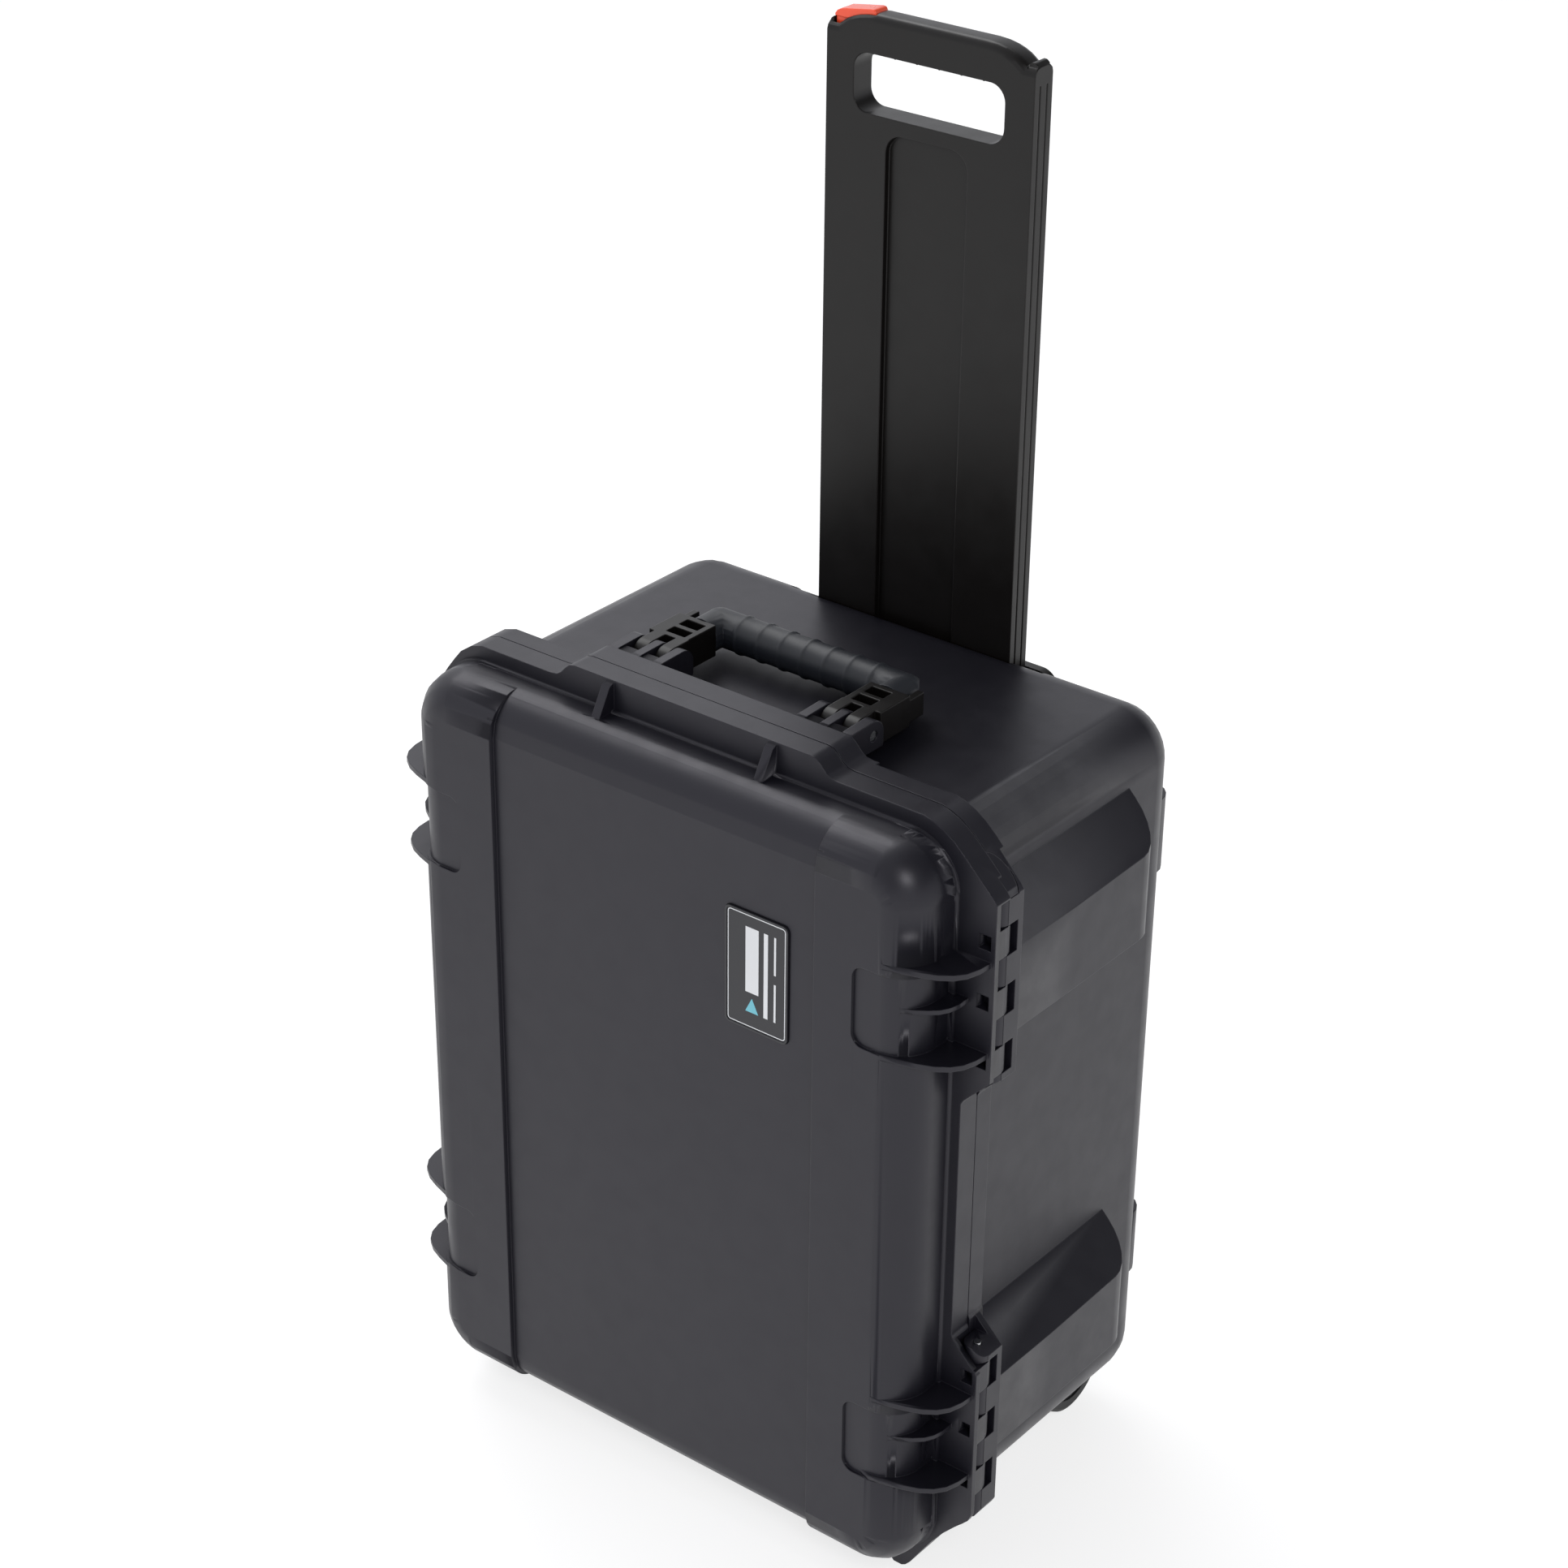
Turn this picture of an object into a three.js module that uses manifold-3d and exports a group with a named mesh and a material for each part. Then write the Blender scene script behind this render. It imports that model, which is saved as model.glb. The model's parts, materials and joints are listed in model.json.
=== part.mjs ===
import * as THREE from 'three';
import { mergeVertices } from 'three/addons/utils/BufferGeometryUtils.js';
import Module from 'manifold-3d';

const wasm = await Module();
wasm.setup();

// Millimetres. X points to the hinge side, Y to the back, Z up.
// Shapes are drawn with z = 0 at mid-height; the whole case is then lifted by GROUND.
const GROUND = 267.5;
// The frame's origin is under the middle of the bounding box.
const CENTRE_X = -3.25;
const CENTRE_Y = 84.75;
const GAP = 0.3;

// Seam and flange
const LID_FLANGE_Y = -16;
const BASE_FLANGE_Y = 14;
const FLANGE_X = 197;
const FLANGE_Z = 259.3;
const PLATEAU_Z = 269.6;
const PLATEAU_BACK_Y = 17;

// Lid tub
const LID_X = 190;
const LID_Z = 250;
const LID_FRONT_Y = -54.5;
const PANEL_Y = -51;
const PANEL_X = 120.5;
const LID_EDGE_R = 24;
const WALL = 4;

// Base tub
const BASE_X = 195;
const BASE_Z = 246;
const BASE_BACK_Y = 217;
const BASE_DRAFT_X = 10.5 / 217;
const BASE_DRAFT_Z = 5 / 217;
const BASE_EDGE_R = 28;
const CORNER_R = 34;

// Two hinges on the right, on one axis
const AXIS_X = 207;
const AXIS_Y = -3.5;
const BARREL_R = 8;
const PIN_R = 2.3;
const BORE_R = 2.65;
const UPPER_HINGE_Z = 154.3;
const LOWER_HINGE_Z = -142.9;
const KNUCKLE_PITCH = 38.4;
const LID_KNUCKLE_HALF = 9.2;
const BASE_KNUCKLE_HALF = 9.5;
const THIN_PLATE_Y = -12.2;
const LEAF_FRONT_Y = 5.9;
const LEAF_BACK_Y = 10.5;

// Two latches on the left
const LATCH_X = 203;
const LATCH_Y = -5;
const LATCH_Z = 150;
const LATCH_PIN_R = 1.9;
const LATCH_BORE_R = 2.25;
const LEVER_HALF = 19.4;

// Side ridges behind the hinges and latches
const RIDGE_X = 213.5;
const RIDGE_FOOT_X = 186;
const RIDGE_LOWER_RUN = 9;
const RIDGE_END_R = 22;
const RIDGE_END_Y = 159;
const RIDGES = [
  { side: 1, low: 127, high: 182 },
  { side: 1, low: -168, high: -116 },
  { side: -1, low: 124, high: 176 },
  { side: -1, low: -176, high: -124 },
];
const BACK_PADS = [[128.5, 178.5], [-168, -122]];
const POCKET_Z = 150;
const POCKET_HALF = 26;

// Pull handle
const PLATE_X = 72.7;
const PLATE_FRONT_Y = 196;
const PLATE_BACK_Y = 213.5;
const PLATE_BOTTOM_Z = 165;
const CHANNEL_X = 73.4;
const CHANNEL_FLOOR_Z = -208;
const ROD_X = -62.5;
const ROD_Y = 204.8;

// Carry handle
const CARRY_Y = 38;
const CARRY_Z = 260.5;
const LUG_R = 9.2;

// Wheels
const WHEEL_Y = 177;
const WHEEL_R = 31.5;
const WHEEL_Z = -GROUND + WHEEL_R;
const WHEEL_IN = 141;
const WHEEL_OUT = 161;
const WELL_IN = 137;
const WELL_OUT = 165;
const WELL_WALL = 3.8;
const AXLE_R = 3;

const BOTH = [-1, 1];

// ---------- solids ----------

// Lowest and highest of two numbers, for pieces mirrored to x < 0.
const span = (a, b) => [Math.min(a, b), Math.max(a, b)];

// A closed solid ready for booleans, from any closed three.js geometry.
function solid(geometry) {
  geometry.deleteAttribute('normal');
  geometry.deleteAttribute('uv');
  const merged = mergeVertices(geometry, 1e-4);
  return new wasm.Manifold(new wasm.Mesh({
    numProp: 3,
    vertProperties: new Float32Array(merged.attributes.position.array),
    triVerts: new Uint32Array(merged.index.array),
  }));
}

function box(x0, x1, y0, y1, z0, z1) {
  const g = new THREE.BoxGeometry(x1 - x0, y1 - y0, z1 - z0);
  g.translate((x0 + x1) / 2, (y0 + y1) / 2, (z0 + z1) / 2);
  return solid(g);
}

function shapeOf(points) {
  return new THREE.Shape(points.map(([a, b]) => new THREE.Vector2(a, b)));
}

// Outline in X and Z, pushed along Y from y0 to y1.
function alongY(shape, y0, y1, options = {}) {
  const g = new THREE.ExtrudeGeometry(shape, { depth: y1 - y0, bevelEnabled: false, curveSegments: 6, ...options });
  g.rotateX(Math.PI / 2);
  g.translate(0, y1, 0);
  return solid(g);
}

// Outline in X and Y, pushed along Z from z0 to z1.
function alongZ(shape, z0, z1, options = {}) {
  const g = new THREE.ExtrudeGeometry(shape, { depth: z1 - z0, bevelEnabled: false, curveSegments: 6, ...options });
  g.translate(0, 0, z0);
  return solid(g);
}

// Outline in Y and Z, pushed along X from x0 to x1.
function alongX(shape, x0, x1, options = {}) {
  const g = new THREE.ExtrudeGeometry(shape, { depth: x1 - x0, bevelEnabled: false, curveSegments: 6, ...options });
  g.rotateY(Math.PI / 2);
  g.rotateX(Math.PI / 2);
  g.translate(x0, 0, 0);
  return solid(g);
}

function rodZ(x, y, r, z0, z1, sides = 24) {
  const g = new THREE.CylinderGeometry(r, r, z1 - z0, sides);
  g.rotateX(Math.PI / 2);
  g.translate(x, y, (z0 + z1) / 2);
  return solid(g);
}

function rodX(y, z, r, x0, x1, sides = 24) {
  const g = new THREE.CylinderGeometry(r, r, x1 - x0, sides);
  g.rotateZ(Math.PI / 2);
  g.translate((x0 + x1) / 2, y, z);
  return solid(g);
}

function rodY(x, z, r, y0, y1, sides = 20) {
  const g = new THREE.CylinderGeometry(r, r, y1 - y0, sides);
  g.translate(x, (y0 + y1) / 2, z);
  return solid(g);
}

function ball(x, y, z, r) {
  const g = new THREE.SphereGeometry(r, 20, 12);
  g.translate(x, y, z);
  return solid(g);
}

// Rounded rectangle with half sizes hx and hy about the point (cx, cy).
function roundedRect(hx, hy, r, cx = 0, cy = 0) {
  const s = new THREE.Shape();
  s.moveTo(cx - hx + r, cy - hy);
  s.lineTo(cx + hx - r, cy - hy);
  s.absarc(cx + hx - r, cy - hy + r, r, -Math.PI / 2, 0, false);
  s.lineTo(cx + hx, cy + hy - r);
  s.absarc(cx + hx - r, cy + hy - r, r, 0, Math.PI / 2, false);
  s.lineTo(cx - hx + r, cy + hy);
  s.absarc(cx - hx + r, cy + hy - r, r, Math.PI / 2, Math.PI, false);
  s.lineTo(cx - hx, cy - hy + r);
  s.absarc(cx - hx + r, cy - hy + r, r, Math.PI, Math.PI * 1.5, false);
  return s;
}

// Rounded tub block: closed at y = far with a rounded edge, cut flat at y = 0.
function tubBlock(hx, hz, corner, edge, far, draftX, draftZ, steps) {
  const depth = Math.abs(far);
  const shape = roundedRect(hx - edge, hz - edge, corner - edge);
  const g = new THREE.ExtrudeGeometry(shape, {
    depth: 2 * depth - 2 * edge,
    bevelEnabled: true,
    bevelThickness: edge,
    bevelSize: edge,
    bevelSegments: steps,
    curveSegments: 4,
  });
  g.rotateX(Math.PI / 2);
  g.translate(0, depth - edge, 0);
  const p = g.attributes.position;
  for (let i = 0; i < p.count; i += 1) {
    const y = Math.abs(p.getY(i));
    p.setX(i, p.getX(i) * (1 - draftX * y / hx));
    p.setZ(i, p.getZ(i) * (1 - draftZ * y / hz));
  }
  const whole = solid(g);
  const half = far > 0 ? box(-400, 400, 0, 400, -400, 400) : box(-400, 400, -400, 0, -400, 400);
  return whole.intersect(half);
}

function all(parts) {
  return parts.reduce((a, b) => a.add(b));
}

function mesh(name, body, color, roughness, metalness) {
  const m = body.getMesh();
  const g = new THREE.BufferGeometry();
  g.setAttribute('position', new THREE.BufferAttribute(new Float32Array(m.vertProperties), 3));
  g.setIndex(new THREE.BufferAttribute(new Uint32Array(m.triVerts), 1));
  g.computeVertexNormals();
  const material = new THREE.MeshStandardMaterial({ color, roughness, metalness });
  const out = new THREE.Mesh(g, material);
  out.name = name;
  return out;
}

const shellLook = (name, body) => mesh(name, body, 0x3e3e43, 0.55, 0);
const handleLook = (name, body) => mesh(name, body, 0x2b2928, 0.5, 0);
const rubberLook = (name, body) => mesh(name, body, 0x35383c, 0.8, 0);
const steelLook = (name, body) => mesh(name, body, 0xa9abad, 0.3, 1);
const redLook = (name, body) => mesh(name, body, 0xe2402c, 0.45, 0);

// ---------- flange ----------

// Outline points are given for positive x and are listed from the top down.
const PLATEAU_END = [
  [87, PLATEAU_Z], [91, PLATEAU_Z - 0.9], [94, PLATEAU_Z - 3.4], [98, FLANGE_Z + 2.6],
  [101, FLANGE_Z + 0.7], [106, FLANGE_Z],
];
const HINGE_CORNER = [[165, FLANGE_Z], [172, 257.6], [178.5, 254.8], [185.6, 250.2], [193, 243.6]];
const LID_HINGE_EDGE = [
  [213.5, 223.6], [216, 220.5], [216, 105.5], [199, 88], [FLANGE_X, 84.5],
  [FLANGE_X, -76.5], [198, -79.5], [216, -98], [216, -203], [214, -208],
];
const BASE_HINGE_EDGE = [
  [213, 222.6], [215.2, 219.5], [215.2, 101.5], [198.2, 84.7], [FLANGE_X, 82],
  [FLANGE_X, -72], [198.2, -74.2], [215.2, -91], [215.2, -206], [213.2, -209.8],
];
const HINGE_LOW_CORNER = [[204.8, -217.4], [196.7, -226.4], [188.5, -237.2], [178, -253.5]];
const LATCH_EDGE = [
  [160, FLANGE_Z], [169.4, 256.4], [177.6, 250.6], [183.2, 243.8], [188.9, 236.2], [193.3, 229.8], [196, 223],
  [FLANGE_X, 216], [FLANGE_X, -208], [195.5, -218], [192, -227], [186, -240], [178, -253.5],
];
const FOOT = [
  [172.8, -262], [169.5, -265.8], [166.5, -GROUND], [160.5, -GROUND],
  [156.5, -263.5], [153, -259.8], [149, -FLANGE_Z],
];

function flangeOutline(hingeEdge, withPlateau) {
  const top = withPlateau ? PLATEAU_END : [];
  const right = [...top, ...HINGE_CORNER, ...hingeEdge, ...HINGE_LOW_CORNER, ...FOOT];
  const left = [...top, ...LATCH_EDGE, ...FOOT].reverse().map(([x, z]) => [-x, z]);
  return shapeOf([...right, ...left]);
}

// Round barrel and the block that ties it to its shell, seen from above.
function knuckle(z0, z1, blockShape) {
  return rodZ(AXIS_X, AXIS_Y, BARREL_R, z0, z1).add(alongZ(shapeOf(blockShape), z0, z1));
}

const LID_BLOCK = [[198, -16], [215.2, -16], [215.2, AXIS_Y], [AXIS_X - 4, AXIS_Y], [198, -8]];
const BASE_BLOCK = [[199, AXIS_Y], [215.2, AXIS_Y], [215.2, LEAF_BACK_Y], [199, LEAF_BACK_Y]];

// The lid has three knuckles per hinge, the base two between them and one at each end.
const HINGES = [
  { z: UPPER_HINGE_Z, ends: [[202.5, 219], [101.5, 106.2]], plate: [78, 219.4], pin: [99, 216], bore: [98.4, 216.5] },
  { z: LOWER_HINGE_Z, ends: [[-209.5, -191.1], [-94.8, -84]], plate: [-212.4, -70], pin: [-208, -84], bore: [-208.5, -78] },
];

function lidRows(hinge) {
  return [-1, 0, 1].map((k) => hinge.z + k * KNUCKLE_PITCH);
}

function baseRows(hinge) {
  const middle = [-0.5, 0.5].map((k) => hinge.z + k * KNUCKLE_PITCH);
  return [...middle.map((z) => [z - BASE_KNUCKLE_HALF, z + BASE_KNUCKLE_HALF]), ...hinge.ends];
}

// Heights between which the lid flange turns in behind the plates, above and below the hinges.
const LOBES = [[219.5, 242], [-242, -212.6]];

// ---------- lid ----------

function lidFlange() {
  let f = alongY(flangeOutline(LID_HINGE_EDGE, true), LID_FLANGE_Y, -GAP);
  for (const { plate } of HINGES) {
    f = f.subtract(box(198.3, 230, THIN_PLATE_Y, 20, plate[0], plate[1] + 0.1));
  }
  for (const [a, b] of LOBES) {
    f = f.subtract(box(AXIS_X, 230, AXIS_Y, 20, a, b));
  }
  return f;
}

// Rounded end of the lid flange that turns inside the base flange, trimmed by the flange outline.
function lidLobes() {
  const outline = alongY(flangeOutline(BASE_HINGE_EDGE, true), LID_FLANGE_Y, 12);
  return all(LOBES.map(([a, b]) => rodZ(AXIS_X, AXIS_Y, 11.6, a, b, 32).intersect(outline)));
}

function lidTub(inset) {
  const full = tubBlock(LID_X - inset, LID_Z - inset, 32, LID_EDGE_R - inset, LID_FRONT_Y + inset, 0.02, 0.02, 4);
  const panel = tubBlock(LID_X - inset, LID_Z - inset, 32, LID_EDGE_R - inset, PANEL_Y + inset, 0.02, 0.02, 4);
  const strip = shapeOf([[-PANEL_X, 10], [-PANEL_X, PANEL_Y], [-PANEL_X - 1.6, -80], [PANEL_X + 1.6, -80], [PANEL_X, PANEL_Y], [PANEL_X, 10]]);
  const middle = alongZ(strip, -300, 300);
  return full.subtract(middle).add(panel);
}

// Shallow rounded pocket behind the fins, running from the front face round to the side.
function finPocket(side, sign) {
  const s = roundedRect(60, POCKET_HALF, 8, side * 207.5, sign * POCKET_Z);
  return alongY(s, -70, -10);
}

function fin(side, z, outline, thick) {
  const slim = side < 0 ? 2 : 0;
  const s = shapeOf(outline.map(([x, y]) => [side * (x > 150 ? x - slim : x), y]));
  return alongZ(s, z - thick / 2, z + thick / 2);
}

const BIG_FIN = [
  [150, -15.6], [150, -50], [168, -54.2], [179, -51.8], [189.5, -48.5], [198.5, -44.8],
  [205.5, -39.8], [210, -33.5], [212.6, -25], [213.5, -15.6],
];
const SMALL_FIN = [
  [150, -15.6], [150, -47.5], [170, -51], [177, -48.6], [184, -45.3], [190, -41.3],
  [195, -36.5], [198, -31], [199.5, -25], [199.5, -15.6],
];
// Heights of each set of three fins: top, middle, bottom.
const RIGHT_FINS = HINGES.map(({ z }) => [z + 27.8, z + 0.2, z - 31.2]);
const LEFT_FINS = BOTH.map((sign) => [sign * LATCH_Z + 28.5, sign * LATCH_Z, sign * LATCH_Z - 28.5]);

function lidFins() {
  const fins = [];
  for (const [side, sets] of [[1, RIGHT_FINS], [-1, LEFT_FINS]]) {
    for (const [top, middle, bottom] of sets) {
      fins.push(fin(side, top, BIG_FIN, 3.4), fin(side, bottom, BIG_FIN, 3.4), fin(side, middle, SMALL_FIN, 3));
    }
  }
  return all(fins);
}

function lidRibs() {
  const side = shapeOf([[-15.7, 268.4], [-15.7, 245], [-29.5, 245], [-29, 250], [-19.6, 266.6]]);
  return all(BOTH.map((s) => alongX(side, s * 60 - 3, s * 60 + 3)));
}

// Low rounded bead where the lid tub meets its flange.
function lidBead() {
  const outer = alongY(roundedRect(LID_X + 1, LID_Z + 1, 33), -18.2, -15.6);
  return outer;
}

// Ears that carry a latch pin, rounded about the pin and tied to the flange edge.
function latchEar(z0, z1) {
  const tie = box(-LATCH_X, -LATCH_X + 8, LATCH_Y - 5.5, LATCH_Y + 4.7, z0, z1);
  return rodZ(-LATCH_X, LATCH_Y, 5.5, z0, z1, 20).add(tie);
}

function lidLugs() {
  const rows = [];
  for (const hinge of HINGES) {
    for (const z of lidRows(hinge)) {
      rows.push(knuckle(z - LID_KNUCKLE_HALF, z + LID_KNUCKLE_HALF, LID_BLOCK));
    }
  }
  for (const sign of BOTH) {
    for (const s of BOTH) {
      const z = sign * LATCH_Z + s * 23.6;
      rows.push(latchEar(z - 3.4, z + 3.4));
    }
  }
  return all(rows);
}

function lidCuts() {
  const cuts = [];
  for (const hinge of HINGES) {
    for (const z of lidRows(hinge)) {
      cuts.push(box(204.6, 212.8, -17, -8.2, z - 2.1, z + 7.1));
    }
    cuts.push(rodZ(AXIS_X, AXIS_Y, BORE_R, hinge.z - 50, hinge.z + 50));
  }
  for (const sign of BOTH) {
    cuts.push(rodZ(-LATCH_X, LATCH_Y, LATCH_BORE_R, sign * LATCH_Z - 24.5, sign * LATCH_Z + 24.5, 16));
  }
  const ring = roundedRect(195.2, 256.2, 46);
  ring.holes.push(roundedRect(190.8, 251.8, 42));
  cuts.push(alongY(ring, -4.4, 1));
  const label = roundedRect(23.1, 39.1, 4.1, 78.2, 141.1);
  cuts.push(alongY(label, PANEL_Y - 3, PANEL_Y + 0.6));
  return all(cuts);
}

function lidShell() {
  let tub = lidTub(0);
  const recessed = lidTub(2);
  for (const side of BOTH) {
    for (const sign of BOTH) {
      const pocket = finPocket(side, sign);
      tub = tub.subtract(pocket).add(recessed.intersect(pocket));
    }
  }
  const front = box(-400, 400, -100, LID_FLANGE_Y + 0.4, -400, 400);
  tub = tub.intersect(front).add(lidBead());
  const cavity = lidTub(WALL);
  const inside = tubBlock(LID_X - WALL, LID_Z - WALL, 34, LID_EDGE_R - WALL, PANEL_Y + WALL, 0.02, 0.02, 3);
  const finsOutside = lidFins().subtract(cavity);
  const body = all([tub, lidFlange(), lidLobes(), finsOutside, lidRibs(), lidLugs()]);
  const opening = alongY(roundedRect(LID_X - WALL, LID_Z - WALL, 34), -20, 1);
  return body.subtract(inside).subtract(opening).subtract(lidCuts());
}

function lidSeal() {
  const ring = roundedRect(194.9, 255.9, 45.7);
  ring.holes.push(roundedRect(191.1, 252.1, 42.3));
  return alongY(ring, -3.9, -0.7);
}

function labelPlate() {
  const plate = alongY(roundedRect(22.7, 38.7, 3.7, 78.2, 141.1), PANEL_Y - 0.9, PANEL_Y + 0.3);
  const rim = roundedRect(22.7, 38.7, 3.7, 78.2, 141.1);
  rim.holes.push(roundedRect(21.5, 37.5, 2.5, 78.2, 141.1));
  return plate.add(alongY(rim, PANEL_Y - 1.4, PANEL_Y));
}

// ---------- base ----------

function baseFlange() {
  const low = alongY(flangeOutline(BASE_HINGE_EDGE, false), GAP, BASE_FLANGE_Y);
  const high = alongY(flangeOutline(BASE_HINGE_EDGE, true), GAP, PLATEAU_BACK_Y);
  const middle = box(-110, 110, GAP, PLATEAU_BACK_Y, 230, 280);
  let f = low.add(high.intersect(middle));
  for (const [a, b] of [[60, 242], [-242, -60]]) {
    f = f.subtract(box(FLANGE_X + 1, 230, LEAF_BACK_Y, 30, a, b));
  }
  for (const { plate } of HINGES) {
    f = f.subtract(box(198.3, 230, -20, LEAF_FRONT_Y, plate[0], plate[1]));
  }
  for (const [a, b] of LOBES) {
    f = f.subtract(rodZ(AXIS_X, AXIS_Y, 12.3, a - 0.4, b + 0.4, 32));
  }
  return f;
}

// Ridge behind a hinge or a latch: flat face, long slope above, short one below, rounded rear end.
function ridge({ side, low, high }) {
  const run = RIDGE_X - RIDGE_FOOT_X;
  const section = shapeOf([
    [side * 180, low - RIDGE_LOWER_RUN], [side * RIDGE_FOOT_X, low - RIDGE_LOWER_RUN], [side * RIDGE_X, low],
    [side * RIDGE_X, high], [side * RIDGE_FOOT_X, high + run], [side * 180, high + run],
  ]);
  const plan = new THREE.Shape();
  const r = RIDGE_END_R;
  plan.moveTo(side * 170, 8);
  plan.lineTo(side * 215.2, 8);
  plan.lineTo(side * 215.2, 12);
  plan.lineTo(side * (RIDGE_X + 0.6), 20);
  for (let i = 0; i <= 6; i += 1) {
    const t = (i / 6) * Math.PI / 2;
    plan.lineTo(side * (RIDGE_X - 0.9 - r + r * Math.cos(t)), RIDGE_END_Y - r + r * Math.sin(t));
  }
  plan.lineTo(side * 170, RIDGE_END_Y);
  return alongY(section, 6, RIDGE_END_Y + 4).intersect(alongZ(plan, low - 60, high + 60));
}

function backPad(side, low, high) {
  const plan = new THREE.Shape();
  plan.moveTo(side * 138, 200);
  plan.lineTo(side * 178.5, 198);
  plan.lineTo(side * 178.5, 208);
  for (let i = 0; i <= 5; i += 1) {
    const t = (i / 5) * Math.PI / 2;
    plan.lineTo(side * (162.5 + 16 * Math.cos(t)), 208 + 16 * Math.sin(t));
  }
  plan.lineTo(side * 140, 224);
  plan.lineTo(side * 138, 220);
  return alongZ(plan, low, high);
}

// Bracket of the carry handle: three lugs with two gaps for the fingers of the arm.
const LUGS = [[50, 56.2], [66.4, 72.2], [83, 90]];

function bracket(side) {
  const web = shapeOf([[13, 240], [13, 268.4], [25, 268.4], [25, 252.5], [20, 240]]);
  const lug = new THREE.Shape();
  lug.moveTo(12.5, 268.4);
  lug.lineTo(14, 262);
  lug.lineTo(25.8, 251.1);
  lug.lineTo(CARRY_Y + LUG_R - 0.6, 251.2);
  lug.lineTo(CARRY_Y + LUG_R, 252.4);
  lug.absarc(CARRY_Y, CARRY_Z, LUG_R, 0, Math.PI / 2, false);
  lug.lineTo(20, CARRY_Z + LUG_R - 0.4);
  const parts = [alongX(web, ...span(side * 50, side * 86))];
  for (const [a, b] of LUGS) {
    parts.push(alongX(lug, ...span(side * a, side * b)));
  }
  return all(parts);
}

const COVER_SCREW_X = 84.5;
const COVER_SCREWS_Z = [190, -195];

function baseCavity() {
  const inner = tubBlock(BASE_X - WALL, BASE_Z - WALL, 30, BASE_EDGE_R - WALL, BASE_BACK_Y - WALL, BASE_DRAFT_X, BASE_DRAFT_Z, 3);
  const kept = [
    box(-CHANNEL_X - 8, CHANNEL_X + 8, PLATE_FRONT_Y - 5, 230, CHANNEL_FLOOR_Z - 4, 260),
    box(-100, 100, PLATE_FRONT_Y - 5, 230, 209, 260),
  ];
  for (const s of BOTH) {
    const [x0, x1] = span(s * (WELL_IN - WELL_WALL), s * (WELL_OUT + WELL_WALL));
    kept.push(box(x0, x1, 138, 230, -260, -197.5));
    for (const z of COVER_SCREWS_Z) {
      kept.push(box(...span(s * 79, s * 90), 203.5, 230, z - 5.5, z + 5.5));
    }
  }
  return inner.subtract(all(kept));
}

function baseCuts() {
  const cuts = [];
  // handle channel, open at the back and at the top, with a groove for the lock bolt
  cuts.push(box(-CHANNEL_X, CHANNEL_X, PLATE_FRONT_Y - 0.8, 240, CHANNEL_FLOOR_Z, 260));
  cuts.push(box(-CHANNEL_X - 4.6, -CHANNEL_X + 1, ROD_Y - 4.9, ROD_Y + 4.9, CHANNEL_FLOOR_Z, 225));
  // step behind which the cover's head sits
  cuts.push(box(-95.5, 95.5, 197.5, 240, 214, 260));
  for (const s of BOTH) {
    for (const z of COVER_SCREWS_Z) {
      cuts.push(rodY(s * COVER_SCREW_X, z, 2.1, 206, 230, 12));
    }
    cuts.push(box(...span(s * WELL_IN, s * WELL_OUT), 142, 212, -300, -201.5));
    cuts.push(rodX(WHEEL_Y, WHEEL_Z, AXLE_R + 0.3, ...span(s * 134, s * 168), 16));
    cuts.push(rodX(CARRY_Y, CARRY_Z, 3.35, ...span(s * 52.5, s * 91)));
  }
  for (const hinge of HINGES) {
    for (const z of lidRows(hinge)) {
      cuts.push(box(198.3, 230, -20, LEAF_FRONT_Y, z - LID_KNUCKLE_HALF - 0.4, z + LID_KNUCKLE_HALF + 0.4));
    }
    cuts.push(rodZ(AXIS_X, AXIS_Y, BORE_R, ...hinge.bore));
  }
  for (const sign of BOTH) {
    cuts.push(box(-230, -198.3, -20, 16, sign * LATCH_Z - 27.8, sign * LATCH_Z + 27.8));
  }
  return all(cuts);
}

// Ears that hold the axle ends below the shell.
function axleLugs() {
  const shape = shapeOf([[162, -222], [166, -238], [170, -243], [184, -243], [188, -238], [192, -222]]);
  const lugs = [];
  for (const s of BOTH) {
    lugs.push(alongX(shape, ...span(s * (WELL_IN - WELL_WALL), s * (WELL_IN - 0.1))));
    lugs.push(alongX(shape, ...span(s * (WELL_OUT + 0.1), s * (WELL_OUT + WELL_WALL))));
  }
  return all(lugs);
}

function baseShell() {
  const tub = tubBlock(BASE_X, BASE_Z, CORNER_R, BASE_EDGE_R, BASE_BACK_Y, BASE_DRAFT_X, BASE_DRAFT_Z, 5);
  const parts = [tub.intersect(box(-400, 400, GAP, 300, -400, 400)), baseFlange(), axleLugs()];
  const trim = alongY(flangeOutline(BASE_HINGE_EDGE, true), -30, 30);
  for (const hinge of HINGES) {
    for (const [a, b] of baseRows(hinge)) {
      parts.push(knuckle(a, b, BASE_BLOCK).intersect(trim));
    }
  }
  for (const zone of RIDGES) {
    parts.push(ridge(zone));
  }
  for (const side of BOTH) {
    parts.push(bracket(side));
    for (const [low, high] of BACK_PADS) {
      parts.push(backPad(side, low, high));
    }
  }
  return all(parts).subtract(baseCavity()).subtract(baseCuts());
}

// ---------- pull handle ----------

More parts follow.
